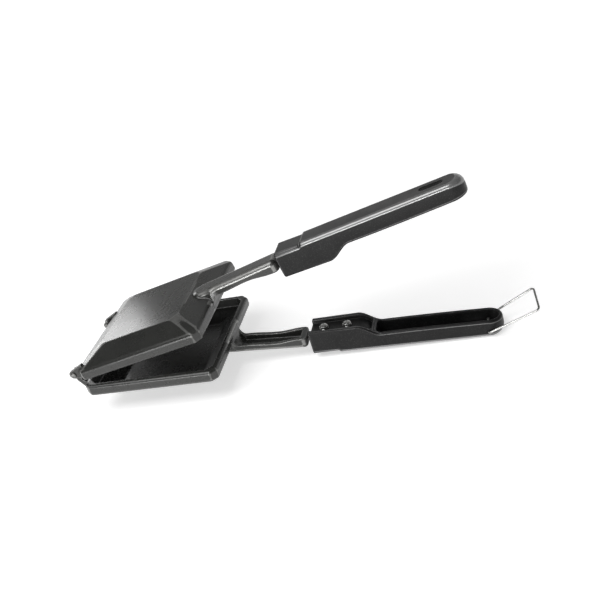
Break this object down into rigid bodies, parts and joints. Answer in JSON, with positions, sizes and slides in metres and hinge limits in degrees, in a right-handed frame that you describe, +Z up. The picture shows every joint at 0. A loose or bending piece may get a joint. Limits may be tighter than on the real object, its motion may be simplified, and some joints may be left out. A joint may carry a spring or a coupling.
{
  "type": "stovetop sandwich toaster",
  "caption": "Stovetop sandwich toaster: square cast pans hinged along one side, each on a channelled arm with a long black moulded handle, and a wire bail on the lower handle.",
  "frame": {"origin": "centre of the lower pan's flat underside, which stands on the stove", "axes": "+X from the hinge towards the handles, +Y to the far side, +Z up through the pans"},
  "size_m": [0.4326, 0.136, 0.1541],
  "materials": {
    "nonstick_coating": "cast aluminium under a satin dark grey non-stick coating",
    "black_bakelite": "black phenolic moulding, semi-gloss",
    "bright_steel": "plated steel, bright",
    "dark_steel": "blackened steel, dull"
  },
  "bodies": {
    "lower_half": {"lower_pan": "nonstick_coating", "lower_handle": "black_bakelite", "lower_front_screw": "bright_steel", "lower_front_washer": "bright_steel", "lower_rear_screw": "bright_steel", "lower_rear_washer": "bright_steel"},
    "hinge_pins": {"hinge_rivet_near": "dark_steel", "hinge_rivet_far": "dark_steel", "hinge_washer_near": "dark_steel", "hinge_washer_far": "dark_steel"},
    "upper_half": {"upper_pan": "nonstick_coating", "upper_handle": "black_bakelite", "upper_front_screw": "bright_steel", "upper_front_washer": "bright_steel", "upper_rear_screw": "bright_steel", "upper_rear_washer": "bright_steel"},
    "bail": {"wire_bail": "bright_steel"}
  },
  "joints": [
    {"name": "hinge_pin_slide", "type": "slide", "parent": "lower_half", "child": "hinge_pins", "axis": [0, 0, 1], "range_m": [-0.0034, 0]},
    {"name": "lid_hinge", "type": "hinge", "parent": "hinge_pins", "child": "upper_half", "pos_m": [-0.075, 0, 0.0314], "axis": [0, -1, 0], "range_deg": [-11.5, 168.5]},
    {"name": "bail_hinge", "type": "hinge", "parent": "lower_half", "child": "bail", "pos_m": [0.3069, 0, -0.01001], "axis": [0, -1, 0], "range_deg": [-192, 134]}
  ]
}
